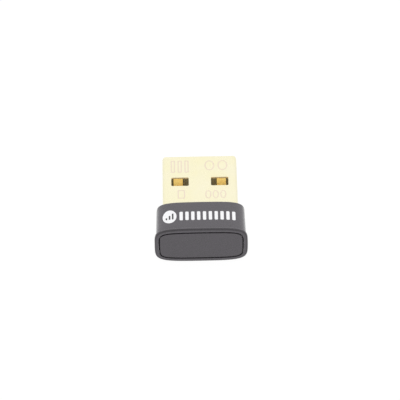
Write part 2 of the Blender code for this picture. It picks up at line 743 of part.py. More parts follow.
def make_board_parts():
    """Upper side: radio, memory and regulator behind the feet, then antenna and crystal."""
    upper = BOARD_TOP_Z + SEAT
    plastic = material("chip_case", (0.025, 0.025, 0.027), 0.5)
    ceramic = material("pale_ceramic", (0.75, 0.73, 0.68), 0.5)
    capacitor = material("tan_ceramic", (0.45, 0.33, 0.2), 0.5)
    resistor = material("dark_film", (0.05, 0.05, 0.05), 0.5)
    radio_y = FOOT_END_Y - SEAT - RADIO_SIZE / 2
    radio_x = (MEMORY_SIZE - REGULATOR_LENGTH) / 2
    memory_x = radio_x - RADIO_SIZE / 2 - PART_GAP - MEMORY_SIZE / 2
    regulator_x = radio_x + RADIO_SIZE / 2 + PART_GAP + REGULATOR_LENGTH / 2
    make_chip("radio_chip", RADIO_SIZE, RADIO_HEIGHT, radio_x, radio_y, plastic)
    make_chip("memory_chip", MEMORY_SIZE, MEMORY_HEIGHT, memory_x, radio_y, plastic)
    make_regulator(regulator_x, radio_y)
    margin = BOARD_FRONT_Y + BOARD_SIDE_GAP
    antenna_x = -BOARD_WIDTH / 2 + BOARD_CHAMFER + ANTENNA_LENGTH / 2
    crystal_x = BOARD_WIDTH / 2 - BOARD_CHAMFER - CRYSTAL_LENGTH / 2
    make_block(
        "chip_antenna", ANTENNA_LENGTH, ANTENNA_WIDTH, ANTENNA_HEIGHT,
        antenna_x, margin + ANTENNA_WIDTH / 2, upper, ceramic,
    )
    make_crystal(crystal_x, margin + CRYSTAL_WIDTH / 2)
    pitch = SMALL_WIDTH + PART_GAP
    small_y = margin + SMALL_LENGTH / 2
    antenna_end = antenna_x + ANTENNA_LENGTH / 2 + PART_GAP + SMALL_WIDTH / 2
    crystal_end = crystal_x - CRYSTAL_LENGTH / 2 - PART_GAP - SMALL_WIDTH / 2
    for name, x, surface in (
        ("antenna_inductor", antenna_end, ceramic),
        ("antenna_capacitor", antenna_end + pitch, capacitor),
        ("crystal_capacitor_left", crystal_end - pitch, capacitor),
        ("crystal_capacitor_right", crystal_end, capacitor),
    ):
        make_block(
            name, SMALL_LENGTH, SMALL_WIDTH, SMALL_HEIGHT, x, small_y, upper, surface, turned=True,
        )
    small_z = BOARD_BOTTOM_Z - SEAT - SMALL_HEIGHT
    large_z = BOARD_BOTTOM_Z - SEAT - LARGE_HEIGHT
    for name, x, row, surface in (
        ("data_resistor_minus", -INNER_STRIP_OFFSET, 0, resistor),
        ("data_resistor_plus", INNER_STRIP_OFFSET, 0, resistor),
        ("decoupling_capacitor_near", -OUTER_STRIP_OFFSET, 0, capacitor),
        ("decoupling_capacitor_far", -OUTER_STRIP_OFFSET, 1, capacitor),
    ):
        y = BOARD_STEP_Y - PART_GAP - SMALL_LENGTH / 2 - row * (SMALL_LENGTH + PART_GAP)
        make_block(
            name, SMALL_LENGTH, SMALL_WIDTH, SMALL_HEIGHT, x, y, small_z, surface, turned=True,
        )
    for name, x, row, surface in (
        ("ferrite_bead", OUTER_STRIP_OFFSET, 0, resistor),
        ("input_capacitor", OUTER_STRIP_OFFSET, 1, capacitor),
        ("output_capacitor", INNER_STRIP_OFFSET, 1, capacitor),
    ):
        y = BOARD_STEP_Y - PART_GAP - LARGE_LENGTH / 2 - row * (LARGE_LENGTH + PART_GAP)
        make_block(
            name, LARGE_LENGTH, LARGE_WIDTH, LARGE_HEIGHT, x, y, large_z, surface, turned=True,
        )


def main():
    clear_scene()
    make_sleeve()
    make_end_cap()
    make_plug_shell()
    make_carrier()
    make_contacts()
    make_board()
    make_board_parts()


main()
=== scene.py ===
"""Looks of the nano USB adapter: finer visible pieces, finishes, floor, light and camera."""

from math import cos, hypot, pi, radians, sin

import bmesh
import bpy
from mathutils import Matrix, Vector


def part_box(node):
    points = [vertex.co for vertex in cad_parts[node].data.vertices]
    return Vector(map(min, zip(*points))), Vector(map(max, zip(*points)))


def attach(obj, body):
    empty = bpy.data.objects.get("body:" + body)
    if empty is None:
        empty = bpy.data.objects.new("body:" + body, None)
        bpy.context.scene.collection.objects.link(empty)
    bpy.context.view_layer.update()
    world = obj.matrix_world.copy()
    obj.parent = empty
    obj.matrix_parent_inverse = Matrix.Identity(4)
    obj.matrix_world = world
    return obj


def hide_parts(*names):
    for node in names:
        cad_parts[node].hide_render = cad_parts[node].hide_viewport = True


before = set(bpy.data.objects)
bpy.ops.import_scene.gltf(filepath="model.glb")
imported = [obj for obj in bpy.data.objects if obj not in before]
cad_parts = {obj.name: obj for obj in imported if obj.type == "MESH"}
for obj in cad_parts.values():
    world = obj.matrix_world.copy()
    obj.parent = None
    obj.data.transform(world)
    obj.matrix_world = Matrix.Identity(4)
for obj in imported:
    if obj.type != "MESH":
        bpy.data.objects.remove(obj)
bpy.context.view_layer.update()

# Photograph's frame and the camera that fits it, in pixels, degrees and metres
PHOTO_SIZE = 400
SENSOR_MM = 36.0
FOCAL_PIXELS = 2682.5
CAMERA_DISTANCE = 0.4302
CAMERA_ELEVATION = 42.245
CAMERA_YAW = -0.327
CAMERA_ROLL = -0.866
CENTRE_RIGHT_PIXELS = 0.31
CENTRE_DOWN_PIXELS = 5.247
CLIP_RATIO = 10

# Housing details that the frame's boxes don't give. From here on, sizes are in metres, and a
# squareness is the exponent that squares an outline's corners.
HOUSING_SQUARENESS = 5.0
SECTION_CORNER = 0.0019
CROWN = 0.00012
SIDE_BOW = 0.0001
LIP_THICKNESS = 0.0005
LIP_EDGE = 0.00025
LIP_BACK_EDGE = 0.00008
LIP_ROOT = 0.00008
BODY_WIDTH = 0.01428
BODY_HEIGHT = 0.0064
BACK_WIDTH = 0.01408
BACK_HEIGHT = 0.00624
BACK_EDGE = 0.00015
FIT = 0.00005
SEAT = 0.00004

# Panel in the end, and the recess round it
PANEL_SQUARENESS = 7.0
PANEL_GAP = 0.00023
PANEL_THICKNESS = 0.0007
PANEL_EDGE = 0.00003
RING_EDGE = 0.00003
SKIRT_WALL = 0.0005

# Plug
PLUG_HEIGHT = 0.0045
SHELL_WALL = 0.0003
PLUG_CORNER = 0.0006
MOUTH_LENGTH = 0.0004
MOUTH_TAPER = 0.00008
MOUTH_ROUND = 0.0001
MOUTH_INNER_SHARE = 0.4
WINDOW_WIDTH = 0.0028
WINDOW_LENGTH = 0.002
WINDOW_CORNER = 0.0002
WINDOW_FROM_TIP = 0.00521
WINDOW_OFFSET = 0.00319
SEAM_WIDTH = 0.00005
DOVETAIL_REACH = 0.0012
DOVETAIL_NECK = 0.0016
DOVETAIL_FLARE = 0.0003
SHEET_EDGE = 0.00003

# Tongue and strips
STRIPS = ("contact_power", "contact_data_minus", "contact_data_plus", "contact_ground")
STRIP_THICKNESS = 0.00015
STRIP_BEND = 0.0002
STRIP_STEP = 0.0003
STRIP_EDGE = 0.00002
HOOK_DROP = 0.0005
NOSE_LENGTH = 0.0007
NOSE_CHAMFER = 0.0002
CARRIER_RAIL = 0.001
BOARD_TONGUE = 0.0035
CORE_DEPTH = 0.0008
CORE_LENGTH = 0.003
CORE_WIDTH = 0.0028
CORE_WALL = 0.0006
PAD_INSET = 0.0003
PAD_HEIGHT = 0.0002
MOULD_EDGE = 0.00004

# Print on the housing and etching on the plug
PRINT_THICKNESS = 0.000012
PRINT_SINK = 0.00002
DISC_X = -0.00492
DISC_Y = -0.0059
DISC_WIDTH = 0.0022
DISC_LENGTH = 0.003
BAR_COUNT = 3
BAR_WIDTH = 0.00025
BAR_PITCH = 0.0005
BAR_STEP = 0.00045
BAR_CORNER = 0.00006
BLOCK_ROW_LEFT = -0.00335
BLOCK_ROW_RIGHT = 0.0055
BLOCK_ROW_Y = -0.0059
BLOCK_LENGTH = 0.002
BLOCK_COUNT = 10
BLOCK_GAP = 0.0004
BLOCK_CORNER = 0.00016
ETCH_THICKNESS = 0.000004
ETCH_STROKE = 0.0002
ETCH_CORNER = 0.00015

# Rows of etched marks: name, shape, count, first X, pitch, Y, width and length
ETCHED_ROWS = (
    ("etched_frame", "frame", 3, -0.0043, 0.0011, 0.0069, 0.0005, 0.0027),
    ("etched_ring", "oval", 2, 0.0016, 0.0021, 0.0071, 0.0014, 0.0022),
    ("etched_square", "frame", 1, -0.003, 0.0, 0.0002, 0.001, 0.0018),
    ("etched_link", "oval", 3, 0.0013, 0.0012, 0.0001, 0.0008, 0.0018),
)

# Finishes. Most of a noise's values lie between its low and its high.
NOISE_LOW = 0.3
NOISE_HIGH = 0.7
PLASTIC_IOR = 1.82
PLASTIC_SHEEN = 1.0
PLASTIC_SHEEN_ROUGHNESS = 0.33
PLASTIC_MOTTLE = 0.22
PLASTIC_GLOSS_SPREAD = 0.04
PLASTIC_GRAIN = 0.00002
GROOVE_GRAIN = 0.000001
PART_TEXTURE = 0.0002
PART_GLOSS_SPREAD = 0.05
PART_GRAIN = 0.000002

# Floor: its size, its drop below the adapter, its tone, and its glow to camera and gloss
FLOOR_HALF_SIZE = 3.0
FLOOR_DROP = 0.00001
FLOOR_TONE = 0.82
FLOOR_GLOW = 1.06
FLOOR_GLOW_SHARE = 0.89

# Facets
CORNER_STEPS = 16
SPAN_STEPS = 24
SIDE_STEPS = 10
ROUND_STEPS = 6
SHEET_STEPS = 10
CUT_STEPS = 5
MARK_STEPS = 3
BEND_STEPS = 8
OVAL_STEPS = 48
DISC_SLICES = 26
BLOCK_SLICES = 6
EDGE_SEGMENTS = 2
SLICE_TOLERANCE = 1e-9

# Angles in degrees above which an edge is sharp, when just built and when softened, and the
# share of a normal along Z below which a face is a wall
BUILT_SHARP_ANGLE = 30
SOFT_SHARP_ANGLE = 40
WALL_SLOPE = 0.8

sleeve_low, sleeve_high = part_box("housing_sleeve")
shell_low, shell_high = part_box("plug_shell")
cap_low, cap_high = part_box("end_cap")
carrier_low, carrier_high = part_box("contact_carrier")
board_low, board_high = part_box("circuit_board")

FRONT_Y = sleeve_low.y
SHOULDER_Y = sleeve_high.y
TIP_Y = shell_high.y
SHELL_REAR_Y = shell_low.y
LIP_WIDTH = sleeve_high.x - sleeve_low.x
LIP_HEIGHT = sleeve_high.z - sleeve_low.z
AXIS_Z = (sleeve_low.z + sleeve_high.z) / 2
PLUG_WIDTH = shell_high.x - shell_low.x
SHELL_TOP_Z = AXIS_Z + PLUG_HEIGHT / 2
SHELL_BOTTOM_Z = AXIS_Z - PLUG_HEIGHT / 2
BORE_WIDTH = PLUG_WIDTH - 2 * SHELL_WALL
BORE_HEIGHT = PLUG_HEIGHT - 2 * SHELL_WALL
BORE_CORNER = PLUG_CORNER - SHELL_WALL
BORE_FLOOR_Z = AXIS_Z - BORE_HEIGHT / 2
PANEL_WIDTH = cap_high.x - cap_low.x
PANEL_HEIGHT = cap_high.z - cap_low.z
CAP_REAR_Y = cap_high.y
LIP_BACK_Y = FRONT_Y + LIP_THICKNESS
CONTACT_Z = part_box("contact_power")[1].z
WINDOW_Y = TIP_Y - WINDOW_FROM_TIP - WINDOW_LENGTH / 2


def arc(centre, radius, start, end, steps):
    """Points along an arc, with its angles in degrees."""
    points = []
    for step in range(steps + 1):
        angle = radians(start + (end - start) * step / steps)
        points.append((centre[0] + radius * cos(angle), centre[1] + radius * sin(angle)))
    return points


def rounded(
    width, height, radius,
    corner_steps=CORNER_STEPS, span_steps=SPAN_STEPS, side_steps=SIDE_STEPS,
):
    """Rounded rectangle about the origin."""
    arcs = []
    for index, (right, up) in enumerate(((1, -1), (1, 1), (-1, 1), (-1, -1))):
        centre = (right * (width / 2 - radius), up * (height / 2 - radius))
        arcs.append(arc(centre, radius, index * 90 - 90, index * 90, corner_steps))
    points = []
    for index, bend in enumerate(arcs):
        points += bend
        (x0, z0), (x1, z1) = bend[-1], arcs[(index + 1) % 4][0]
        steps = span_steps if index % 2 else side_steps
        for step in range(1, steps):
            share = step / steps
            points.append((x0 + (x1 - x0) * share, z0 + (z1 - z0) * share))
    return points


def cushion(width, height, squareness):
    """Softly squared outline, its long sides crowned and its ends bowed."""
    half_width = width / 2 - SIDE_BOW
    half_height = height / 2 - CROWN
    points = []
    for x, z in rounded(2 * half_width, 2 * half_height, SECTION_CORNER):
        share_x = abs(x) / half_width
        share_z = abs(z) / half_height
        reach = (share_x ** squareness + share_z ** squareness) ** (-1 / squareness)
        swell_x = SIDE_BOW * (1 - (share_z * reach) ** 2)
        swell_z = CROWN * (1 - (share_x * reach) ** 2)
        points.append((
            x * reach + (swell_x if x > 0 else -swell_x),
            z * reach + (swell_z if z > 0 else -swell_z),
        ))
    return points


def grown(outline, growth):
    """An outline moved outward along its normals."""
    moved = []
    for index, (x, z) in enumerate(outline):
        (x0, z0), (x1, z1) = outline[index - 1], outline[(index + 1) % len(outline)]
        along = hypot(x1 - x0, z1 - z0)
        moved.append((x + growth * (z1 - z0) / along, z - growth * (x1 - x0) / along))
    return moved


def loft(stations, closed=False):
    """Skin from outline to outline. The last joins the first, or both ends are capped."""
    form = bmesh.new()
    rings = [[form.verts.new(point) for point in station] for station in stations]
    pairs = list(zip(rings, rings[1:]))
    if closed:
        pairs.append((rings[-1], rings[0]))
    else:
        form.faces.new(rings[0])
        form.faces.new(rings[-1])
    for near, far in pairs:
        count = len(near)
        for index in range(count):
            following = (index + 1) % count
            form.faces.new((near[index], near[following], far[following], far[index]))
    return form


def across(outline, y, z=AXIS_Z):
    """An outline stood up across the adapter at one Y."""
    return [(x, y, z + height) for x, height in outline]


def block(low, high):
    """Plain block between two corners."""
    form = bmesh.new()
    bmesh.ops.create_cube(form, size=1.0)
    for vertex in form.verts:
        vertex.co = [
            low[axis] + (vertex.co[axis] + 0.5) * (high[axis] - low[axis]) for axis in range(3)
        ]
    return form


def ribbon(path, thickness):
    """Closed outline of a strip of even thickness along a path in a plane."""
    left = []
    right = []
    for index, (u, v) in enumerate(path):
        directions = []
        if index > 0:
            directions.append((u - path[index - 1][0], v - path[index - 1][1]))
        if index < len(path) - 1:
            directions.append((path[index + 1][0] - u, path[index + 1][1] - v))
        normals = [(-dv / hypot(du, dv), du / hypot(du, dv)) for du, dv in directions]
        nu = sum(normal[0] for normal in normals)
        nv = sum(normal[1] for normal in normals)
        scale = thickness / 2 / (nu * normals[0][0] + nv * normals[0][1])
        left.append((u + nu * scale, v + nv * scale))
        right.append((u - nu * scale, v - nv * scale))
    return left + right[::-1]


def extrude_x(outline, width, x):
    """Solid from a Y and Z outline, as wide as given about one X."""
    return loft([[(x + side * width / 2, y, z) for y, z in outline] for side in (-1, 1)])


def extrude_z(outline, bottom, top, x=0.0, y=0.0):
    """Solid from an X and Y outline, between two heights."""
    return loft([[(x + u, y + v, z) for u, v in outline] for z in (bottom, top)])


def make_object(name, form, surface=None):
    """Turn a finished bmesh into a smooth-shaded object."""
    bmesh.ops.recalc_face_normals(form, faces=form.faces)
    mesh = bpy.data.meshes.new(name)
    form.to_mesh(mesh)
    form.free()
    made = bpy.data.objects.new(name, mesh)
    bpy.context.scene.collection.objects.link(made)
    if surface:
        mesh.materials.append(surface)
    mesh.shade_smooth()
    mesh.set_sharp_from_angle(angle=radians(BUILT_SHARP_ANGLE))
    return made


def settle(piece):
    """Apply the piece's modifiers."""
    evaluated = piece.evaluated_get(bpy.context.evaluated_depsgraph_get())
    mesh = bpy.data.meshes.new_from_object(evaluated)
    piece.modifiers.clear()
    piece.data = mesh


def soften(piece, edge=0.0):
    """Round the sharp edges where a size is given, and keep the flat faces flat in shading."""
    if edge:
        bevel = piece.modifiers.new("soft_edge", "BEVEL")
        bevel.width = edge
        bevel.segments = EDGE_SEGMENTS
        bevel.limit_method = "ANGLE"
        bevel.angle_limit = radians(SOFT_SHARP_ANGLE)
        bevel.use_clamp_overlap = True
        bevel.miter_outer = "MITER_ARC"
        settle(piece)
    piece.data.shade_smooth()
    piece.data.set_sharp_from_angle(angle=radians(SOFT_SHARP_ANGLE))
    even = piece.modifiers.new("even_normals", "WEIGHTED_NORMAL")
    even.keep_sharp = True
    settle(piece)


def carve(piece, form, operation="DIFFERENCE"):
    """Cut a shape out of a piece, or fuse one to it, at once."""
    tool = make_object("tool", form)
    step = piece.modifiers.new("carve", "BOOLEAN")
    step.operation = operation
    step.object = tool
    bpy.context.view_layer.update()
    settle(piece)
    bpy.data.objects.remove(tool, do_unlink=True)


def finish_piece(piece, slot, *nodes):
    """A piece that stands for CAD nodes on the adapter's one body."""
    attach(piece, "root")
    if nodes:
        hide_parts(*nodes)


class Surface:
    """A Principled material with its node tree at hand."""

    def __init__(self, name, colour, roughness, metallic=0.0):
        self.material = bpy.data.materials.new(name)
        self.material.use_nodes = True
        self.nodes = self.material.node_tree.nodes
        self.links = self.material.node_tree.links
        self.shader = self.nodes["Principled BSDF"]
        self.shader.inputs["Base Color"].default_value = (*colour, 1.0)
        self.shader.inputs["Roughness"].default_value = roughness
        self.shader.inputs["Metallic"].default_value = metallic
        self.place = self.nodes.new("ShaderNodeTexCoord").outputs["Object"]

    def noise(self, size, detail, stretch=(1.0, 1.0, 1.0)):
        """Noise whose features are about the given size, in metres."""
        mapping = self.nodes.new("ShaderNodeMapping")
        mapping.inputs["Scale"].default_value = stretch
        self.links.new(self.place, mapping.inputs["Vector"])
        texture = self.nodes.new("ShaderNodeTexNoise")
        texture.inputs["Scale"].default_value = 1.0 / size
        texture.inputs["Detail"].default_value = detail
        self.links.new(mapping.outputs["Vector"], texture.inputs["Vector"])
        return texture.outputs["Fac"]

    def between(self, value, low, high):
        """Map a noise's usual spread to two values."""
        spread = self.nodes.new("ShaderNodeMapRange")
        spread.inputs["From Min"].default_value = NOISE_LOW
        spread.inputs["From Max"].default_value = NOISE_HIGH
        spread.inputs["To Min"].default_value = low
        spread.inputs["To Max"].default_value = high
        self.links.new(value, spread.inputs["Value"])
        return spread.outputs["Result"]

    def tint(self, value, first, second):
        """Colour that drifts between two tones."""
        ramp = self.nodes.new("ShaderNodeValToRGB")
        stops = zip(ramp.color_ramp.elements, (NOISE_LOW, NOISE_HIGH), (first, second))
        for stop, position, colour in stops:
            stop.position = position
            stop.color = (*colour, 1.0)
        self.links.new(value, ramp.inputs["Fac"])
        self.links.new(ramp.outputs["Color"], self.shader.inputs["Base Color"])

    def gloss(self, value, low, high):
        """Roughness that drifts between two values."""
        self.links.new(self.between(value, low, high), self.shader.inputs["Roughness"])

    def bump(self, value, height):
        """Relief of the given height, in metres."""
        relief = self.nodes.new("ShaderNodeBump")
        relief.inputs["Strength"].default_value = 1.0
        relief.inputs["Distance"].default_value = height
        self.links.new(value, relief.inputs["Height"])
        self.links.new(relief.outputs["Normal"], self.shader.inputs["Normal"])


def moulded_black(name, tone, roughness, ior=PLASTIC_IOR, grain=PLASTIC_GRAIN):
    """Satin moulded plastic: a fine spark-eroded grain over faint mottling."""
    surface = Surface(name, tone, roughness)
    surface.shader.inputs["IOR"].default_value = ior
    surface.shader.inputs["Sheen Weight"].default_value = PLASTIC_SHEEN
    surface.shader.inputs["Sheen Roughness"].default_value = PLASTIC_SHEEN_ROUGHNESS
    darker = [(1 - PLASTIC_MOTTLE) * part for part in tone]
    lighter = [(1 + PLASTIC_MOTTLE) * part for part in tone]
    surface.tint(surface.noise(size=0.0003, detail=3.0), darker, lighter)
    surface.gloss(
        surface.noise(size=0.0009, detail=2.0),
        roughness - PLASTIC_GLOSS_SPREAD, roughness + PLASTIC_GLOSS_SPREAD,
    )
    surface.bump(surface.noise(size=0.00014, detail=2.0), height=grain)
    return surface.material


def gilt_sheet():
    """Pale gilt plating with faint drawing lines along the plug."""
    surface = Surface("gilt_plating", (0.9, 0.85, 0.6), roughness=0.3, metallic=1.0)
    clouds = surface.noise(size=0.0035, detail=3.0)
    surface.tint(clouds, (0.9, 0.856, 0.64), (0.895, 0.845, 0.58))
    streaks = surface.noise(size=0.0006, detail=3.0, stretch=(1.0, 0.15, 1.0))
    surface.gloss(streaks, 0.26, 0.32)
    lines = surface.noise(size=0.00012, detail=2.0, stretch=(1.0, 0.06, 1.0))
    surface.bump(lines, height=0.0000001)
    return surface.material


def gold_strip():
    """Gold plating on a stamped strip, drawn along the plug."""
    surface = Surface("gold_strip", (1.0, 0.71, 0.27), roughness=0.25, metallic=1.0)
    clouds = surface.noise(size=0.0006, detail=2.0)
    surface.tint(clouds, (0.99, 0.67, 0.235), (1.0, 0.75, 0.3))
    streaks = surface.noise(size=0.0002, detail=3.0, stretch=(1.0, 0.2, 1.0))
    surface.gloss(streaks, 0.23, 0.28)
    lines = surface.noise(size=0.00008, detail=2.0, stretch=(1.0, 0.06, 1.0))
    surface.bump(lines, height=0.0000002)
    return surface.material


def sheared_edge():
    """Bare cut through the sheet: warmer and rougher than its plating."""
    surface = Surface("sheared_edge", (0.97, 0.76, 0.42), roughness=0.45)
    clouds = surface.noise(size=0.0003, detail=3.0)
    surface.tint(clouds, (0.95, 0.73, 0.39), (0.99, 0.79, 0.45))
    streaks = surface.noise(size=0.0002, detail=2.0, stretch=(1.0, 1.0, 0.2))
    surface.gloss(streaks, 0.4, 0.5)
    lines = surface.noise(size=0.00006, detail=2.0, stretch=(1.0, 1.0, 0.15))
    surface.bump(lines, height=0.0000005)
    return surface.material


def etched_gilt():
    """Laser-etched plating: a shade pinker and duller than the sheet."""
    surface = Surface("etched_plating", (0.83, 0.72, 0.59), roughness=0.4, metallic=1.0)
    clouds = surface.noise(size=0.0002, detail=2.0)
    surface.tint(clouds, (0.81, 0.7, 0.56), (0.85, 0.74, 0.62))
    surface.bump(surface.noise(size=0.00004, detail=2.0), height=0.0000003)
    return surface.material


def white_ink():
    """Pad-printed white, a little uneven."""
    surface = Surface("white_ink", (0.97, 0.97, 0.98), roughness=0.45)
    clouds = surface.noise(size=0.0003, detail=3.0)
    surface.tint(clouds, (0.94, 0.94, 0.96), (0.99, 0.99, 1.0))
    surface.bump(surface.noise(size=0.00008, detail=3.0), height=0.000002)
    return surface.material


def part_finish(name, first, second, roughness, metallic=0.0):
    """Finish that drifts between two tones, for the tongue, the dark ink and small parts."""
    surface = Surface(name, first, roughness, metallic)
    surface.tint(surface.noise(size=PART_TEXTURE, detail=3.0), first, second)
    surface.gloss(
        surface.noise(size=PART_TEXTURE * 2, detail=2.0),
        roughness - PART_GLOSS_SPREAD, roughness + PART_GLOSS_SPREAD,
    )
    surface.bump(surface.noise(size=PART_TEXTURE / 3, detail=2.0), height=PART_GRAIN)
    return surface.material


def lip_outline(growth):
    """Outside of the lip at the housing's open end."""
    return grown(cushion(LIP_WIDTH, LIP_HEIGHT, HOUSING_SQUARENESS), growth)


def body_size(y):
    """The tapered body's width and height at one Y."""
    share = (y - LIP_BACK_Y) / (SHOULDER_Y - BACK_EDGE - LIP_BACK_Y)
    share = min(max(share, 0.0), 1.0)
    return (
        BODY_WIDTH + (BACK_WIDTH - BODY_WIDTH) * share,
        BODY_HEIGHT + (BACK_HEIGHT - BODY_HEIGHT) * share,
    )


def body_outline(y, growth):
    """Outside of the tapered body at one Y."""
    return grown(cushion(*body_size(y), HOUSING_SQUARENESS), growth)


def body_top(x, y):
    """Height of the body's crowned top."""
    width, height = body_size(y)
    share = abs(x) / (width / 2 - SIDE_BOW)
    top = (height / 2 - CROWN) * (1 - share ** HOUSING_SQUARENESS) ** (1 / HOUSING_SQUARENESS)
    return AXIS_Z + top + CROWN * (1 - share ** 2)


def panel_outline(growth):
    """Outside of the end panel."""
    return grown(cushion(PANEL_WIDTH, PANEL_HEIGHT, PANEL_SQUARENESS), growth)


def bore_outline(growth, radius):
    """Inside of the folded sheet, and what fits in or round it."""
    return rounded(BORE_WIDTH + 2 * growth, BORE_HEIGHT + 2 * growth, radius)


def quarter():
    """Sine and cosine from 0 to 90 degrees."""
    angles = [step / ROUND_STEPS * pi / 2 for step in range(ROUND_STEPS + 1)]
    return [(sin(angle), cos(angle)) for angle in angles]


def finish_rows(piece, around, first, last, index, closed=False):
    """Give some of a loft's rows a finish of their own. Unless it's closed, two caps lead."""
    caps = 0 if closed else 2
    for face in piece.data.polygons[caps + first * around:caps + last * around]:
        face.material_index = index


def make_housing(surface, edge_surface, groove_shade_surface):
    """Sleeve with rounded lip, root fillet, tapered body, rounded back and stepped bore."""
    stations = []
    for s, c in quarter():
        stations.append(across(
            panel_outline(PANEL_GAP + RING_EDGE * (1 - c)), FRONT_Y + RING_EDGE * (1 - s),
        ))
    for s, c in quarter():
        stations.append(across(lip_outline(LIP_EDGE * (s - 1)), FRONT_Y + LIP_EDGE * (1 - c)))
    for s, c in quarter():
        stations.append(across(
            lip_outline(LIP_BACK_EDGE * (c - 1)), LIP_BACK_Y - LIP_BACK_EDGE * (1 - s),
        ))
    for s, c in quarter():
        y = LIP_BACK_Y + LIP_ROOT * (1 - c)
        stations.append(across(body_outline(y, LIP_ROOT * (1 - s)), y))
    for s, c in quarter():
        y = SHOULDER_Y - BACK_EDGE * (1 - s)
        stations.append(across(body_outline(y, -BACK_EDGE * (1 - c)), y))
    mouth = bore_outline(SHELL_WALL + FIT, PLUG_CORNER + FIT)
    bore = bore_outline(0.0, BORE_CORNER)
    ledge_y = SHELL_REAR_Y - SEAT
    panel_floor = FRONT_Y + PANEL_THICKNESS + SEAT
    stations += [
        across(bore_outline(SHELL_WALL + 2 * FIT, PLUG_CORNER + 2 * FIT), SHOULDER_Y),
        across(mouth, SHOULDER_Y - FIT),
        across(mouth, ledge_y),
        across(bore, ledge_y),
        across(bore, panel_floor),
        across(panel_outline(PANEL_GAP), panel_floor),
    ]
    piece = make_object("moulded_housing", loft(stations, closed=True), surface)
    piece.data.materials.append(edge_surface)
    piece.data.materials.append(groove_shade_surface)
    around, rows = len(stations[0]), len(stations)
    # The recess's rim and the lip's flat front come before the lip's rounding
    lip_row = ROUND_STEPS + 1
    # The lip's front rounding takes a darker, less reflective finish: painted shade along the
    # lip's edge
    finish_rows(piece, around, lip_row, lip_row + ROUND_STEPS, 1, closed=True)
    # The last two rows are the recess's floor and wall
    # They take a less reflective finish, so the recess renders darker: painted shade
    finish_rows(piece, around, rows - 2, rows, 2, closed=True)
    soften(piece)
    finish_piece(piece, "housing", "housing_sleeve")


def make_panel(surface, groove_shade_surface):
    """Flush end panel with a softened edge, on its hollow skirt."""
    back = FRONT_Y + PANEL_THICKNESS
    skirt = bore_outline(-FIT, BORE_CORNER)
    hollow = bore_outline(-FIT - SKIRT_WALL, BORE_CORNER / 2)
    stations = []
    for s, c in quarter():
        stations.append(across(
            panel_outline(-PANEL_EDGE * (1 - s)), FRONT_Y + PANEL_EDGE * (1 - c),
        ))
    stations += [
        across(panel_outline(0.0), back),
        across(skirt, back),
        across(skirt, CAP_REAR_Y),
        across(hollow, CAP_REAR_Y),
        across(hollow, back),
    ]
    piece = make_object("inset_panel", loft(stations), surface)
    piece.data.materials.append(groove_shade_surface)
    # The panel's side wall comes after its softened edge
    # It takes the recess's less reflective finish: painted shade in the groove
    finish_rows(piece, len(stations[0]), ROUND_STEPS, ROUND_STEPS + 1, 1)
    soften(piece)
    finish_piece(piece, "end_panel", "end_cap")


def seam_path():
    """Centre line of the seam under the plug, with one dovetail key half-way along."""
    middle = (SHOULDER_Y + TIP_Y) / 2
    neck = DOVETAIL_NECK / 2
    wide = neck + DOVETAIL_FLARE
    return [
        (0.0, SHELL_REAR_Y - SHELL_WALL),
        (0.0, middle - neck),
        (-DOVETAIL_REACH, middle - wide),
        (-DOVETAIL_REACH, middle + wide),
        (0.0, middle + neck),
        (0.0, TIP_Y + SHELL_WALL),
    ]


def plain(width, height, radius, steps):
    """Rounded rectangle whose sides are single facets."""
    return rounded(width, height, radius, corner_steps=steps, span_steps=1, side_steps=1)


def sheet_outline(growth, radius):
    """Section of the folded sheet, grown from its inside."""
    return plain(BORE_WIDTH + 2 * growth, BORE_HEIGHT + 2 * growth, radius, SHEET_STEPS)


def line_windows(piece, surface):
    """Give the windows' cut walls their own finish."""
    piece.data.materials.append(surface)
    reach_x = WINDOW_WIDTH / 2 + SHEET_EDGE
    reach_y = WINDOW_LENGTH / 2 + SHEET_EDGE
    for face in piece.data.polygons:
        x = abs(face.center.x) - WINDOW_OFFSET
        y = face.center.y - WINDOW_Y
        upright = abs(face.normal.z) < WALL_SLOPE
        if upright and abs(x) < reach_x and abs(y) < reach_y:
            face.material_index = 1


def make_shell(surface, edge_surface):
    """Folded shell: rounded mouth, four windows with softened edges, dovetailed seam."""
    outside = sheet_outline(SHELL_WALL, PLUG_CORNER)
    inside = sheet_outline(0.0, BORE_CORNER)
    stations = [across(outside, SHELL_REAR_Y), across(outside, TIP_Y - MOUTH_LENGTH)]
    for s, c in quarter():
        growth = SHELL_WALL - MOUTH_TAPER - MOUTH_ROUND * (1 - c)
        y = TIP_Y - MOUTH_ROUND * (1 - s)
        stations.append(across(sheet_outline(growth, BORE_CORNER + growth), y))
    for s, c in quarter():
        growth = MOUTH_TAPER + MOUTH_ROUND * (1 - s) * MOUTH_INNER_SHARE
        y = TIP_Y - MOUTH_ROUND * (1 - c)
        stations.append(across(sheet_outline(growth, BORE_CORNER + growth), y))
    stations += [across(inside, TIP_Y - MOUTH_LENGTH), across(inside, SHELL_REAR_Y)]
    piece = make_object("gilt_plug_shell", loft(stations, closed=True), surface)
    window = plain(WINDOW_WIDTH, WINDOW_LENGTH, WINDOW_CORNER, CUT_STEPS)
    low, high = SHELL_BOTTOM_Z - SHELL_WALL, SHELL_TOP_Z + SHELL_WALL
    for side in (-1, 1):
        carve(piece, extrude_z(window, low, high, side * WINDOW_OFFSET, WINDOW_Y))
    seam = ribbon(seam_path(), SEAM_WIDTH)
    carve(piece, extrude_z(seam, low, BORE_FLOOR_Z + SHELL_WALL))
    soften(piece, SHEET_EDGE)
    line_windows(piece, edge_surface)
    finish_piece(piece, "gilt_shell", "plug_shell")


def strip_sizes(node):
    """A strip's middle X, width and nose Y."""
    low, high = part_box(node)
    return (low.x + high.x) / 2, high.x - low.x, high.y


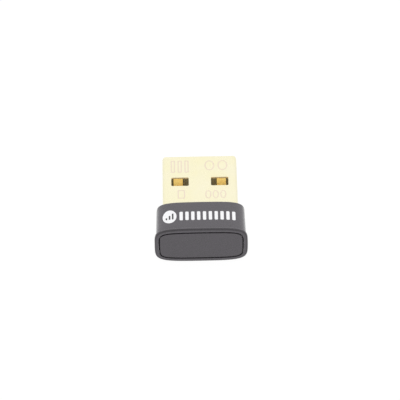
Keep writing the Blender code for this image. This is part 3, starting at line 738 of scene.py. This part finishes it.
def make_carrier(surface):
    """Moulded tongue: latch pads, strip grooves, hook slots, board slot and cored floor."""
    edge = BORE_CORNER
    half = (carrier_high.x - carrier_low.x) / 2
    floor_z = BORE_FLOOR_Z + SEAT
    top_z = carrier_high.z
    rear_y, nose_y = carrier_low.y, carrier_high.y

    def section(drop):
        return [
            (-half, floor_z + edge),
            (-half + edge, floor_z),
            (half - edge, floor_z),
            (half, floor_z + edge),
            (half, top_z - drop),
            (-half, top_z - drop),
        ]

    stations = [
        across(section(0.0), rear_y, 0.0),
        across(section(0.0), nose_y - NOSE_CHAMFER, 0.0),
        across(section(NOSE_CHAMFER), nose_y, 0.0),
    ]
    piece = make_object("insulator_tongue", loft(stations), surface)
    for side in (-1, 1):
        reach_x = WINDOW_WIDTH / 2 - PAD_INSET
        reach_y = WINDOW_LENGTH / 2 - PAD_INSET
        x = side * WINDOW_OFFSET
        pad = block(
            (x - reach_x, WINDOW_Y - reach_y, floor_z - PAD_HEIGHT),
            (x + reach_x, WINDOW_Y + reach_y, floor_z + PAD_HEIGHT),
        )
        carve(piece, pad, "UNION")
    for node in STRIPS:
        x, width, nose = strip_sizes(node)
        hook_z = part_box(node)[0].z - SEAT
        hook_floor = min(hook_z, CONTACT_Z - STRIP_BEND - HOOK_DROP - SEAT)
        bed = CONTACT_Z - STRIP_THICKNESS - SEAT
        hook_y = nose - STRIP_THICKNESS - STRIP_BEND - SEAT
        carve(piece, extrude_x(
            [
                (rear_y - SEAT, bed),
                (hook_y, bed),
                (hook_y, hook_floor),
                (nose + SEAT, hook_floor),
                (nose + SEAT, CONTACT_Z + SEAT),
                (rear_y - SEAT, CONTACT_Z + SEAT),
            ],
            width + 2 * SEAT, x,
        ))
    neck = half - CARRIER_RAIL + SEAT
    carve(piece, block(
        (-neck, rear_y - SEAT, board_low.z - SEAT),
        (neck, rear_y + BOARD_TONGUE + SEAT, board_high.z + SEAT),
    ))
    core_end = nose_y - NOSE_LENGTH
    for index in (-1, 0, 1):
        x = index * (CORE_WIDTH + CORE_WALL)
        carve(piece, block(
            (x - CORE_WIDTH / 2, core_end - CORE_LENGTH, floor_z - SEAT),
            (x + CORE_WIDTH / 2, core_end, floor_z + CORE_DEPTH),
        ))
    soften(piece, MOULD_EDGE)
    finish_piece(piece, "insulator", "contact_carrier")


def make_strips(surface):
    """Formed strips with round bends and softened long edges."""
    half = STRIP_THICKNESS / 2
    flat_z = CONTACT_Z - half
    foot_z = board_high.z + SEAT + half
    for node in STRIPS:
        x, width, nose = strip_sizes(node)
        hook_y = nose - half
        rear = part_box(node)[0].y
        bend_centre = (hook_y - STRIP_BEND, flat_z - STRIP_BEND)
        path = [(hook_y, CONTACT_Z - half - STRIP_BEND - HOOK_DROP)]
        path += arc(bend_centre, STRIP_BEND, 0, 90, BEND_STEPS)
        path += [
            (carrier_low.y - half, flat_z),
            (carrier_low.y - STRIP_STEP, foot_z),
            (rear, foot_z),
        ]
        name = node.replace("contact", "gold_strip")
        piece = make_object(name, extrude_x(ribbon(path, STRIP_THICKNESS), width, x), surface)
        soften(piece, STRIP_EDGE)
        finish_piece(piece, "gold_contact", node)


def drape(form, height_at, thickness, sink):
    """Close a flat shape into a thin layer on a surface: its top proud and its back sunk."""
    bmesh.ops.triangulate(form, faces=form.faces)
    shell = bmesh.ops.extrude_face_region(form, geom=form.faces[:])["geom"]
    raised = {item for item in shell if isinstance(item, bmesh.types.BMVert)}
    for vertex in form.verts:
        base = height_at(vertex.co.x, vertex.co.y)
        vertex.co.z = base + (thickness if vertex in raised else -sink)
    return form


def flat_shape(outline, slices, x, y):
    """Flat face from an outline, sliced across X so that it can follow a crown."""
    form = bmesh.new()
    face = form.faces.new([form.verts.new((x + u, y + v, 0.0)) for u, v in outline])
    face.normal_update()
    low = min(vertex.co.x for vertex in form.verts)
    high = max(vertex.co.x for vertex in form.verts)
    for index in range(1, slices):
        where = low + (high - low) * index / slices
        bmesh.ops.bisect_plane(
            form, geom=form.verts[:] + form.edges[:] + form.faces[:],
            plane_co=(where, 0, 0), plane_no=(1, 0, 0), dist=SLICE_TOLERANCE,
        )
    return form


def oval(width, length):
    """Oval about the origin."""
    points = []
    for step in range(OVAL_STEPS):
        angle = 2 * pi * step / OVAL_STEPS
        points.append((width / 2 * cos(angle), length / 2 * sin(angle)))
    return points


def make_print(surface, dark):
    """White oval with three rising bars, then a row of plain blocks, on the crowned top."""
    disc = drape(
        flat_shape(oval(DISC_WIDTH, DISC_LENGTH), DISC_SLICES, DISC_X, DISC_Y),
        body_top, PRINT_THICKNESS, PRINT_SINK,
    )
    finish_piece(make_object("print_disc", disc, surface), "housing")
    for index in range(BAR_COUNT):
        height = BAR_STEP * (index + 1)
        x = DISC_X + (index - (BAR_COUNT - 1) / 2) * BAR_PITCH
        y = DISC_Y + (height - BAR_COUNT * BAR_STEP) / 2
        bar = plain(BAR_WIDTH, height, BAR_CORNER, MARK_STEPS)
        form = drape(flat_shape(bar, 1, x, y), body_top, 2 * PRINT_THICKNESS, PRINT_SINK)
        finish_piece(make_object(f"print_bar_{index + 1}", form, dark), "housing")
    pitch = (BLOCK_ROW_RIGHT - BLOCK_ROW_LEFT + BLOCK_GAP) / BLOCK_COUNT
    outline = plain(pitch - BLOCK_GAP, BLOCK_LENGTH, BLOCK_CORNER, CUT_STEPS)
    for index in range(BLOCK_COUNT):
        x = BLOCK_ROW_LEFT + pitch * index + (pitch - BLOCK_GAP) / 2
        flat = flat_shape(outline, BLOCK_SLICES, x, BLOCK_ROW_Y)
        form = drape(flat, body_top, PRINT_THICKNESS, PRINT_SINK)
        finish_piece(make_object(f"print_block_{index + 1}", form, surface), "housing")


def plug_top(x, y):
    """Height of the plug's flat top, the same everywhere."""
    return SHELL_TOP_Z


def ring_shape(inside, outside, x, y):
    """Flat ring between two outlines of as many points."""
    form = bmesh.new()
    inner = [form.verts.new((x + u, y + v, 0.0)) for u, v in inside]
    outer = [form.verts.new((x + u, y + v, 0.0)) for u, v in outside]
    for index in range(len(inner)):
        following = (index + 1) % len(inner)
        form.faces.new((inner[index], outer[index], outer[following], inner[following]))
    return form


def etched_mark(shape, width, length, x, y):
    """Flat frame or oval ring, drawn with the etching's stroke."""
    outlines = []
    for side in (-1, 1):
        size = (width + side * ETCH_STROKE, length + side * ETCH_STROKE)
        if shape == "oval":
            outlines.append(oval(*size))
        else:
            outlines.append(plain(*size, ETCH_CORNER, MARK_STEPS))
    return ring_shape(*outlines, x, y)


def make_etching(surface):
    """Thin-lined plain marks on the plug's top, in the four fields beside its windows."""
    for row, shape, count, first_x, pitch, y, width, length in ETCHED_ROWS:
        for index in range(count):
            name = f"{row}_{index + 1}" if count > 1 else row
            flat = etched_mark(shape, width, length, first_x + index * pitch, y)
            layer = drape(flat, plug_top, ETCH_THICKNESS, ETCH_THICKNESS)
            finish_piece(make_object(name, layer, surface), "gilt_shell")


def dress_board(finishes):
    """Finishes for the small parts that stay as the frame has them."""
    for node, surface in finishes.items():
        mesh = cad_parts[node].data
        mesh.materials.clear()
        mesh.materials.append(surface)


def arithmetic(tree, operation, first, second):
    """Output of a Math node. The second input is a socket or a number."""
    node = tree.nodes.new("ShaderNodeMath")
    node.operation = operation
    tree.links.new(first, node.inputs[0])
    if isinstance(second, float):
        node.inputs[1].default_value = second
    else:
        tree.links.new(second, node.inputs[1])
    return node.outputs["Value"]


def make_floor():
    """Pale floor that keeps a faint shadow, and shows white to the camera and in gloss."""
    form = bmesh.new()
    bmesh.ops.create_grid(form, x_segments=1, y_segments=1, size=FLOOR_HALF_SIZE)
    for vertex in form.verts:
        vertex.co.z = sleeve_low.z - FLOOR_DROP
    floor = make_object("floor", form)
    surface = bpy.data.materials.new("pale_floor")
    surface.use_nodes = True
    tree = surface.node_tree
    nodes, links = tree.nodes, tree.links
    nodes.clear()
    diffuse = nodes.new("ShaderNodeBsdfDiffuse")
    diffuse.inputs["Color"].default_value = (FLOOR_TONE, FLOOR_TONE, FLOOR_TONE, 1.0)
    glow = nodes.new("ShaderNodeEmission")
    glow.inputs["Strength"].default_value = FLOOR_GLOW
    rays = nodes.new("ShaderNodeLightPath").outputs
    seen = arithmetic(tree, "MAXIMUM", rays["Is Camera Ray"], rays["Is Glossy Ray"])
    lit = arithmetic(tree, "MAXIMUM", seen, rays["Is Transmission Ray"])
    mix = nodes.new("ShaderNodeMixShader")
    links.new(arithmetic(tree, "MULTIPLY", lit, FLOOR_GLOW_SHARE), mix.inputs["Fac"])
    links.new(diffuse.outputs["BSDF"], mix.inputs[1])
    links.new(glow.outputs["Emission"], mix.inputs[2])
    output = nodes.new("ShaderNodeOutputMaterial")
    links.new(mix.outputs["Shader"], output.inputs["Surface"])
    floor.data.materials.append(surface)


def make_world():
    """White tent, with an opening at half strength high on the camera's side."""
    world = bpy.data.worlds.new("light_tent")
    bpy.context.scene.world = world
    world.use_nodes = True
    tree = world.node_tree
    nodes, links = tree.nodes, tree.links
    background = nodes["Background"]
    background.inputs["Color"].default_value = (1.0, 1.0, 1.0, 1.0)
    direction = nodes.new("ShaderNodeTexCoord").outputs["Generated"]

    def facing(target, outer, inner, outside, inside):
        """Value that turns from outside to inside as a direction comes to face a target."""
        dot = nodes.new("ShaderNodeVectorMath")
        dot.operation = "DOT_PRODUCT"
        links.new(direction, dot.inputs[0])
        dot.inputs[1].default_value = Vector(target).normalized()
        ramp = nodes.new("ShaderNodeMapRange")
        ramp.interpolation_type = "SMOOTHSTEP"
        ramp.inputs["From Min"].default_value = outer
        ramp.inputs["From Max"].default_value = inner
        ramp.inputs["To Min"].default_value = outside
        ramp.inputs["To Max"].default_value = inside
        links.new(dot.outputs["Value"], ramp.inputs["Value"])
        return ramp.outputs["Result"]

    roof = facing((0.0, 0.35, 1.0), outer=-0.2, inner=0.9, outside=0.98, inside=1.08)
    opening = facing((-0.2, -0.49, 0.85), outer=0.86, inner=0.96, outside=1.0, inside=0.5)
    strength = arithmetic(tree, "MULTIPLY", roof, opening)
    links.new(strength, background.inputs["Strength"])


def make_camera():
    """Camera from the fit, aimed at the adapter's middle."""
    yaw, up, roll = radians(CAMERA_YAW), radians(CAMERA_ELEVATION), radians(CAMERA_ROLL)
    back = Vector((sin(yaw) * cos(up), -cos(yaw) * cos(up), sin(up)))
    level = Vector((0.0, 0.0, 1.0)).cross(back).normalized()
    upright = back.cross(level)
    right = level * cos(roll) + upright * sin(roll)
    upward = upright * cos(roll) - level * sin(roll)
    target = Vector((0.0, 0.0, AXIS_Z))
    data = bpy.data.cameras.new("camera")
    data.sensor_width = SENSOR_MM
    data.lens = SENSOR_MM * FOCAL_PIXELS / PHOTO_SIZE
    data.shift_x = -CENTRE_RIGHT_PIXELS / PHOTO_SIZE
    data.shift_y = CENTRE_DOWN_PIXELS / PHOTO_SIZE
    data.clip_start = CAMERA_DISTANCE / CLIP_RATIO
    data.clip_end = CAMERA_DISTANCE * CLIP_RATIO
    camera = bpy.data.objects.new("camera", data)
    turn = Matrix((right, upward, back)).transposed()
    camera.matrix_world = Matrix.Translation(target + back * CAMERA_DISTANCE) @ turn.to_4x4()
    bpy.context.scene.collection.objects.link(camera)
    bpy.context.scene.camera = camera


def main():
    """Build every visible piece with its finish, then the floor, the light and the camera."""
    bpy.context.scene.view_settings.view_transform = "Standard"
    # Less reflective, almost grainless plastic in the recess round the panel: painted shade
    # that darkens the groove, and an even look in so narrow a slot
    groove = moulded_black(
        "groove_black_painted_shade", (0.034, 0.028, 0.036), roughness=0.5, ior=1.42, grain=GROOVE_GRAIN,
    )
    make_housing(
        moulded_black("satin_black", (0.0345, 0.0265, 0.039), roughness=0.28),
        # Darker, less reflective finish on the lip's front rounding: painted shade
        moulded_black("lip_edge_painted_shade", (0.032, 0.027, 0.034), roughness=0.28, ior=1.6),
        groove,
    )
    make_panel(
        moulded_black("satin_panel", (0.0245, 0.0165, 0.028), roughness=0.28), groove,
    )
    make_shell(gilt_sheet(), sheared_edge())
    make_carrier(part_finish(
        "dark_insulator", (0.375, 0.31, 0.135), (0.41, 0.34, 0.15), roughness=0.45,
    ))
    make_strips(gold_strip())
    make_print(white_ink(), part_finish(
        "dark_ink", (0.05, 0.05, 0.05), (0.07, 0.07, 0.07), roughness=0.5,
    ))
    make_etching(etched_gilt())
    case = part_finish("chip_case", (0.02, 0.02, 0.022), (0.032, 0.032, 0.034), roughness=0.45)
    pale = part_finish("pale_ceramic", (0.72, 0.7, 0.64), (0.8, 0.78, 0.73), roughness=0.5)
    tan = part_finish("tan_ceramic", (0.42, 0.3, 0.18), (0.5, 0.37, 0.23), roughness=0.5)
    film = part_finish("dark_film", (0.04, 0.04, 0.04), (0.07, 0.07, 0.07), roughness=0.5)
    mask = part_finish("solder_mask", (0.015, 0.1, 0.045), (0.02, 0.13, 0.06), roughness=0.4)
    can = part_finish(
        "crystal_can", (0.6, 0.58, 0.52), (0.7, 0.68, 0.62), roughness=0.35, metallic=0.9,
    )
    dress_board({
        "circuit_board": mask,
        "radio_chip": case,
        "memory_chip": case,
        "voltage_regulator": case,
        "crystal": can,
        "chip_antenna": pale,
        "antenna_inductor": pale,
        "antenna_capacitor": tan,
        "crystal_capacitor_left": tan,
        "crystal_capacitor_right": tan,
        "decoupling_capacitor_near": tan,
        "decoupling_capacitor_far": tan,
        "input_capacitor": tan,
        "output_capacitor": tan,
        "data_resistor_minus": film,
        "data_resistor_plus": film,
        "ferrite_bead": film,
    })
    make_floor()
    make_world()
    make_camera()


main()
